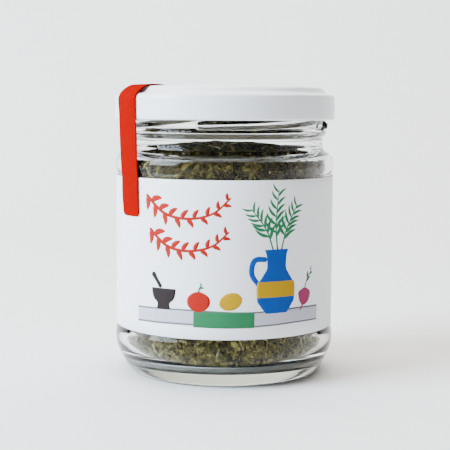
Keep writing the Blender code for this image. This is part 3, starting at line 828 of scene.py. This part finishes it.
def heap_z(r):
    """The height of the heap.

    It is the centre's height less the drop to the edge times a power, HEAP_POWER, of the share of the
    way out to the glass.
    """
    share = np.clip(r / INSIDE_R, 0.0, 1.0)
    return FILL_EDGE_Z + (FILL_CENTRE_Z - FILL_EDGE_Z) * (1 - share ** HEAP_POWER)


def keep_inside(points):
    """Points moved to where the glass leaves room: up off the floor, then in from the wall."""
    r = np.hypot(points[..., 0], points[..., 1])
    z = np.maximum(points[..., 2], FLOOR_EDGE_Z + GLASS_GAP)
    limit = room_r(z) - GLASS_GAP
    share = np.minimum(1.0, limit / np.maximum(r, 1e-6))
    x, y = points[..., 0] * share, points[..., 1] * share
    z = np.maximum(z, floor_z(np.hypot(x, y)) + GLASS_GAP)
    return np.stack([x, y, z], -1)


def lying_frames(rng, normals, tilt):
    """Axes (along, across, up) of bits lying on a surface.

    The normal leans by up to tilt degrees any way, and the bit turns at random about it.
    """
    lean = rng.normal(size=normals.shape)
    lean /= np.linalg.norm(lean, axis=1)[:, None]
    up = normals + lean * (np.tan(np.radians(tilt)) * rng.random(len(normals)))[:, None]
    up /= np.linalg.norm(up, axis=1)[:, None]
    along = rng.normal(size=normals.shape)
    along -= up * np.einsum("ij,ij->i", along, up)[:, None]
    along /= np.linalg.norm(along, axis=1)[:, None]
    return along, np.cross(up, along), up


def laid(places, local, axes):
    """Bits' own points (n, m, 3) carried to their places along their axes, and kept inside the glass."""
    along, across, up = axes
    return keep_inside(places[:, None] + local[..., :1] * along[:, None] + local[..., 1:2] * across[:, None]
                       + local[..., 2:] * up[:, None])


def leaf_bits(rng, places, normals, tilt, length):
    """Cut and curled leaf blades, each a closed skin on three rings of four points and two end points.

    A ring is a folded blade: two edges at half the width to the sides, lifted by the fold, with a point
    just over and one just under the midrib. The rings twist about the blade and follow a parabola.
    """
    n = len(places)
    axes = lying_frames(rng, normals, tilt)
    width = length * rng.uniform(0.3, 0.62, n)
    stations = np.stack([-rng.uniform(0.5, 0.96, n), rng.uniform(-0.2, 0.2, n),
                         rng.uniform(0.5, 0.96, n)], 1) / 2
    share = np.stack([rng.uniform(0.45, 1.0, n), np.ones(n), rng.uniform(0.45, 1.0, n)], 1)
    half = width[:, None] / 2 * share
    fold = np.radians(rng.uniform(-8.0, 62.0, n))[:, None]
    thick = rng.uniform(0.05, 0.11, n)[:, None]
    x = stations * length[:, None]
    bow = rng.uniform(-0.2, 0.6, n)[:, None] / length[:, None]
    twist = rng.normal(0.0, 0.4, n)[:, None] * stations * 2
    zero = np.zeros_like(half)
    y = np.stack([-half * np.cos(fold), zero, half * np.cos(fold), zero], -1)
    z = np.stack([half * np.sin(fold), zero + thick, half * np.sin(fold), zero - thick], -1)
    y, z = (y * np.cos(twist)[..., None] - z * np.sin(twist)[..., None],
            y * np.sin(twist)[..., None] + z * np.cos(twist)[..., None])
    z = z - (bow * x ** 2)[..., None]
    ring_x = np.repeat(x[..., None], 4, axis=-1)
    tip_x = np.stack([-length, length], -1) / 2
    tip_z = -bow * tip_x ** 2
    local = np.concatenate([
        np.stack([ring_x, y, z], -1).reshape(n, 12, 3),
        np.stack([tip_x, np.zeros_like(tip_x), tip_z], -1),
    ], axis=1)
    j = np.arange(4)
    k = (j + 1) % 4
    tips = np.concatenate([np.stack([np.full(4, 12), k, j], -1),
                           np.stack([np.full(4, 13), 8 + j, 8 + k], -1)])
    return laid(places, local, axes), grid_faces(3, 4), tips


def stalk_bits(rng, places, normals, tilt, length, radius):
    """Bits of stalk: sticks with five sides and a slight bend, on three rings, with capped ends."""
    n = len(places)
    axes = lying_frames(rng, normals, tilt)
    turn = np.arange(5) * 2 * math.pi / 5
    x = np.array([-0.5, 0.0, 0.5])[None, :, None] * length[:, None, None]
    bend = (rng.normal(0.0, 0.06, n) * length)[:, None, None] * np.array([0.0, 1.0, 0.0])[None, :, None]
    y = radius[:, None, None] * np.cos(turn) + bend
    z = radius[:, None, None] * np.sin(turn) * 0.8 + 0 * x
    x, y, z = np.broadcast_arrays(x, y, z)
    local = np.stack([x, y, z], -1).reshape(n, 15, 3)
    ends = np.array([[0, 1, 2, 3, 4], [14, 13, 12, 11, 10]])[:, ::-1]
    return laid(places, local, axes), grid_faces(3, 5), ends


def set_tone(made, tones):
    """The leaf's tone, from 0 dark to 1 pale, on every point of a piece."""
    layer = made.data.attributes.new("tone", "FLOAT", "POINT")
    layer.data.foreach_set("value", tones.astype(np.float32))


def many(name, batch, tones, finish):
    """One object from a batch (points (n, m, 3), faces, faces) of like bits, each with its own tone."""
    points, *faces = batch
    n, m = points.shape[:2]
    groups = []
    for group in faces:
        groups.append((group[None] + (np.arange(n) * m)[:, None, None]).reshape(-1, group.shape[1]))
    made = put_mesh(name, points, groups, finish)
    set_tone(made, np.repeat(tones, m))
    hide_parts("dried_tarragon")
    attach(made, "root")


def on_wall(rng, count, low, high, depth, azimuth=(0.0, 360.0)):
    """Places and normals next to the glass wall, up to depth behind it."""
    turn = rng.uniform(*azimuth, count)
    z = rng.uniform(low, high, count)
    inset = rng.uniform(0.15, depth, count)
    return polar(room_r(z) - inset, turn, z), polar(1.0, turn, 0.0 * z)


def on_floor(rng, count, depth):
    """Places and normals over the floor and in the inner heel, where the surface turns up the wall."""
    turn = rng.uniform(0.0, 360.0, count)
    r = INSIDE_R * 0.985 * np.sqrt(rng.random(count))
    z = floor_z(r)
    rise = (floor_z(r + 0.1) - floor_z(r - 0.1)) / 0.2
    out = polar(1.0, turn, 0.0 * z)
    normal = out * rise[:, None] - np.array([0.0, 0.0, 1.0])
    normal /= np.linalg.norm(normal, axis=1)[:, None]
    return polar(r, turn, z) - normal * rng.uniform(0.15, depth, count)[:, None], normal


def on_heap(rng, count, depth):
    """Places and normals on the heap's top."""
    turn = rng.uniform(0.0, 360.0, count)
    r = INSIDE_R * np.sqrt(rng.random(count))
    z = heap_z(r) + HEAP_LUMPS * LUMPS(polar(r, turn, 0 * r)) + rng.uniform(-depth, 0.15, count)
    slope = (heap_z(r + 0.1) - heap_z(r - 0.1)) / 0.2
    normal = np.array([0.0, 0.0, 1.0]) - polar(1.0, turn, 0.0 * z) * slope[:, None]
    normal /= np.linalg.norm(normal, axis=1)[:, None]
    return polar(r, turn, z), normal


def lump_field(rng):
    """A smooth random field: a sum of sines along random directions, scaled so that its spread is 1."""
    direction = rng.normal(size=(LUMP_WAVES, 3))
    direction /= np.linalg.norm(direction, axis=1)[:, None]
    number = 2 * math.pi / rng.uniform(*LUMP_SIZES, LUMP_WAVES)
    phase = rng.uniform(0, 2 * math.pi, LUMP_WAVES)

    def field(points):
        waves = np.sin(points @ (direction * number[:, None]).T + phase)
        return waves.sum(-1) * math.sqrt(2.0 / LUMP_WAVES)
    return field


def build_core(finish):
    """The dark mass behind the flakes: the glass's inner side and the heap, drawn in and made lumpy."""
    heap_low_z = FILL_EDGE_Z - 2.0
    heap_r = np.linspace(0.0, 29.0, 22)
    side_z = np.linspace(heap_low_z, 12.0, 60)
    floor_r = np.linspace(26.0, 0.0, 18)
    heel = arc(INSIDE_R - INNER_HEEL_R, FLOOR_EDGE_Z + INNER_HEEL_R, INNER_HEEL_R - CORE_INSET, -5, -85, 10)
    profile = np.vstack([np.stack([heap_r, heap_z(heap_r) - CORE_UNDER_HEAP], -1),
                         np.stack([room_r(side_z) - CORE_INSET, side_z], -1), heel,
                         np.stack([floor_r, floor_z(floor_r) + CORE_OVER_FLOOR], -1)])

    def lumpy(azimuth, radius, height):
        """The same surface with lumps, in and out on the side and up and down on the heap."""
        wide = LUMPS(polar(radius, azimuth, height))
        sunk = HEAP_LUMPS * wide * (height > heap_low_z)
        return radius - CORE_LUMPS * np.maximum(wide, -0.8), height - sunk

    core = turned("herb_core", profile, CORE_SIDES, finish, reshape=lumpy)
    set_tone(core, np.full(len(core.data.vertices), CORE_TONE))
    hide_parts("dried_tarragon")
    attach(core, "root")


def leaf_lengths(rng, count):
    """Lengths spread about LEAF_LENGTH, with few long ones: it times e to a normal random number."""
    return np.clip(LEAF_LENGTH * np.exp(rng.normal(0.0, LEAF_SPREAD, count)), LEAF_SHORTEST, LEAF_LONGEST)


def build_herb(leaf, straw):
    """The flakes, in three pieces with a tilt and a middle tone each, and the bits of stalk among them."""
    rng = np.random.default_rng(SEED)
    # Each zone has a piece's name, its places with their normals, a tilt in degrees and a middle tone.
    zones = [
        # The top's middle tone is darker than the others: painted shade under the lid.
        ("herb_top", [on_heap(rng, 4600, 0.9), on_wall(rng, 3500, 62.0, 69.6, 1.2)], 24.0, 0.36),
        ("herb_side", [on_wall(rng, 4700, 18.0, 62.0, 1.1),
                       on_wall(rng, 1500, 16.0, 66.0, 1.2, (171.0, 189.0))], 20.0, 0.5),
        ("herb_foot", [on_wall(rng, 4700, 8.0, 18.5, 1.2), on_floor(rng, 3500, 1.1)], 22.0, 0.52),
    ]
    for name, parts, tilt, middle in zones:
        places = np.concatenate([p for p, _ in parts])
        normals = np.concatenate([q for _, q in parts])
        count = len(places)
        tones = np.clip(rng.normal(middle, 0.2, count), 0.02, 1.0)
        many(name, leaf_bits(rng, places, normals, tilt, leaf_lengths(rng, count)), tones, leaf)
    places, normals = (np.concatenate(pair) for pair in zip(
        on_heap(rng, 110, 0.5), on_wall(rng, 150, 60.0, 69.0, 0.7), on_wall(rng, 150, 7.0, 60.0, 0.7),
        on_wall(rng, 160, 7.0, 17.0, 0.7), on_floor(rng, 110, 0.6)))
    count = len(places)
    sticks = stalk_bits(rng, places, normals, STALK_TILT, rng.uniform(*STALK_LENGTHS, count),
                        rng.uniform(*STALK_RADII, count))
    many("herb_stalks", sticks, rng.uniform(0.0, 1.0, count), straw)


# Stage, lights and camera.

def build_stage(finish):
    """A floor that curves up behind into a backdrop, so that no line shows between them."""
    floor = np.array([(STAGE_FRONT_Y, STAGE_Z), (0.0, STAGE_Z), (STAGE_BEND_Y, STAGE_Z)])
    bend = arc(STAGE_BEND_Y, STAGE_Z + STAGE_BEND_R, STAGE_BEND_R, -90, 0, 40)
    wall_y = STAGE_BEND_Y + STAGE_BEND_R
    wall = np.array([(wall_y, STAGE_TOP_Z / 2), (wall_y, STAGE_TOP_Z)])
    line = np.vstack([floor, bend[1:], wall])
    x = np.linspace(-STAGE_HALF_WIDTH, STAGE_HALF_WIDTH, 3)
    points = np.stack(np.broadcast_arrays(x[None, :], line[:, :1], line[:, 1:]), -1).reshape(-1, 3)
    mesh = bpy.data.meshes.new("backdrop")
    mesh.from_pydata((points * MM).tolist(), [], grid_faces(len(line), 3, around=False).tolist())
    mesh.materials.append(finish)
    mesh.shade_smooth()
    backdrop = bpy.data.objects.new("backdrop", mesh)
    bpy.context.scene.collection.objects.link(backdrop)


def area_light(name, azimuth, distance, height, size, energy, colour, aim=(0.0, 0.0, 0.05)):
    """A rectangular light at an azimuth and distance from the jar, facing aim. Metres here."""
    light = bpy.data.lights.new(name, "AREA")
    light.shape = "RECTANGLE"
    light.size, light.size_y = size
    light.energy = energy
    light.color = colour
    lamp = bpy.data.objects.new(name, light)
    bpy.context.scene.collection.objects.link(lamp)
    a = math.radians(azimuth)
    lamp.location = (distance * math.sin(a), -distance * math.cos(a), height)
    lamp.rotation_euler = (Vector(aim) - lamp.location).to_track_quat("-Z", "Y").to_euler()


def build_lights():
    """Window light from the left, a soft ceiling, a wash on the backdrop, and a dim room.

    The room looks pale where it is seen straight or through clear glass, and dim in all other light.
    """
    world = bpy.data.worlds.new("room")
    bpy.context.scene.world = world
    world.use_nodes = True
    tree = world.node_tree
    path = node(tree, "ShaderNodeLightPath").outputs
    direct = node(tree, "ShaderNodeMath", {0: path["Diffuse Depth"], 1: 0.5}, operation="LESS_THAN")
    through = node(tree, "ShaderNodeMath", {0: direct.outputs[0], 1: path["Is Transmission Ray"]},
                   operation="MULTIPLY")
    seen = node(tree, "ShaderNodeMath", {0: through.outputs[0], 1: path["Is Camera Ray"]},
                operation="MAXIMUM")
    strength = node(tree, "ShaderNodeMapRange", {"Value": seen.outputs[0], "To Min": ROOM_LIGHT,
                                                 "To Max": ROOM_SEEN})
    sky = tree.nodes["Background"]
    sky.inputs["Color"].default_value = (0.97, 0.96, 0.94, 1.0)
    tree.links.new(strength.outputs[0], sky.inputs["Strength"])
    area_light("window", azimuth=-68.0, distance=1.1, height=0.62, size=(0.75, 0.9), energy=72.0,
               colour=(0.72, 0.86, 1.0))
    area_light("ceiling", azimuth=180.0, distance=0.2, height=1.35, size=(1.6, 1.6), energy=29.0,
               colour=(1.0, 0.94, 0.84))
    area_light("backdrop_wash", azimuth=180.0, distance=0.45, height=1.5, size=(2.0, 0.5), energy=18.0,
               colour=(1.0, 0.98, 0.95), aim=(0.0, 0.9, 0.3))


def build_camera():
    """The photograph's camera, in front of the jar and a little above it."""
    camera = bpy.data.cameras.new("camera")
    camera.sensor_width = SENSOR_WIDTH
    camera.lens = FOCAL_PIXELS * SENSOR_WIDTH / FRAME_PIXELS
    camera.clip_start = 0.01
    seat = bpy.data.objects.new("camera", camera)
    bpy.context.scene.collection.objects.link(seat)
    seat.matrix_world = (Matrix.Translation(CAMERA_PLACE)
                         @ Matrix.Rotation(math.pi / 2 - CAMERA_LEAN, 4, "X")
                         @ Matrix.Rotation(CAMERA_ROLL, 4, "Z"))
    bpy.context.scene.camera = seat


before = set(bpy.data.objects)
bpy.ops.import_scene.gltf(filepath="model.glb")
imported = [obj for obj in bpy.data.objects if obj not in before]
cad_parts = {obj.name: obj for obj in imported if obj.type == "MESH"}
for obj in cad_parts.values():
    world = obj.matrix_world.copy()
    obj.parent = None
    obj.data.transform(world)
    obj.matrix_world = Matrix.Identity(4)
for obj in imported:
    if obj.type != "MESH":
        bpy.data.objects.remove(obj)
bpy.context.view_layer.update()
build_camera()
build_lights()

MOTTLE = mottle_group()
INSIDE_CURVE = smooth_curve(jar_inside())
LUMPS = lump_field(np.random.default_rng(SEED + 1))

build_jar(glass_material())
build_lid(white_lacquer(), gold_lacquer())
build_liner(sealing_compound())
build_label(label_paper())
build_strip(seal_paper())
build_print()

leaf_finish = herb_material("dried_leaf", LEAF_STOPS, 0.95)
build_core(leaf_finish)
build_herb(leaf_finish, herb_material("dried_stalk", STALK_STOPS, 0.9))
build_stage(pale_backdrop())
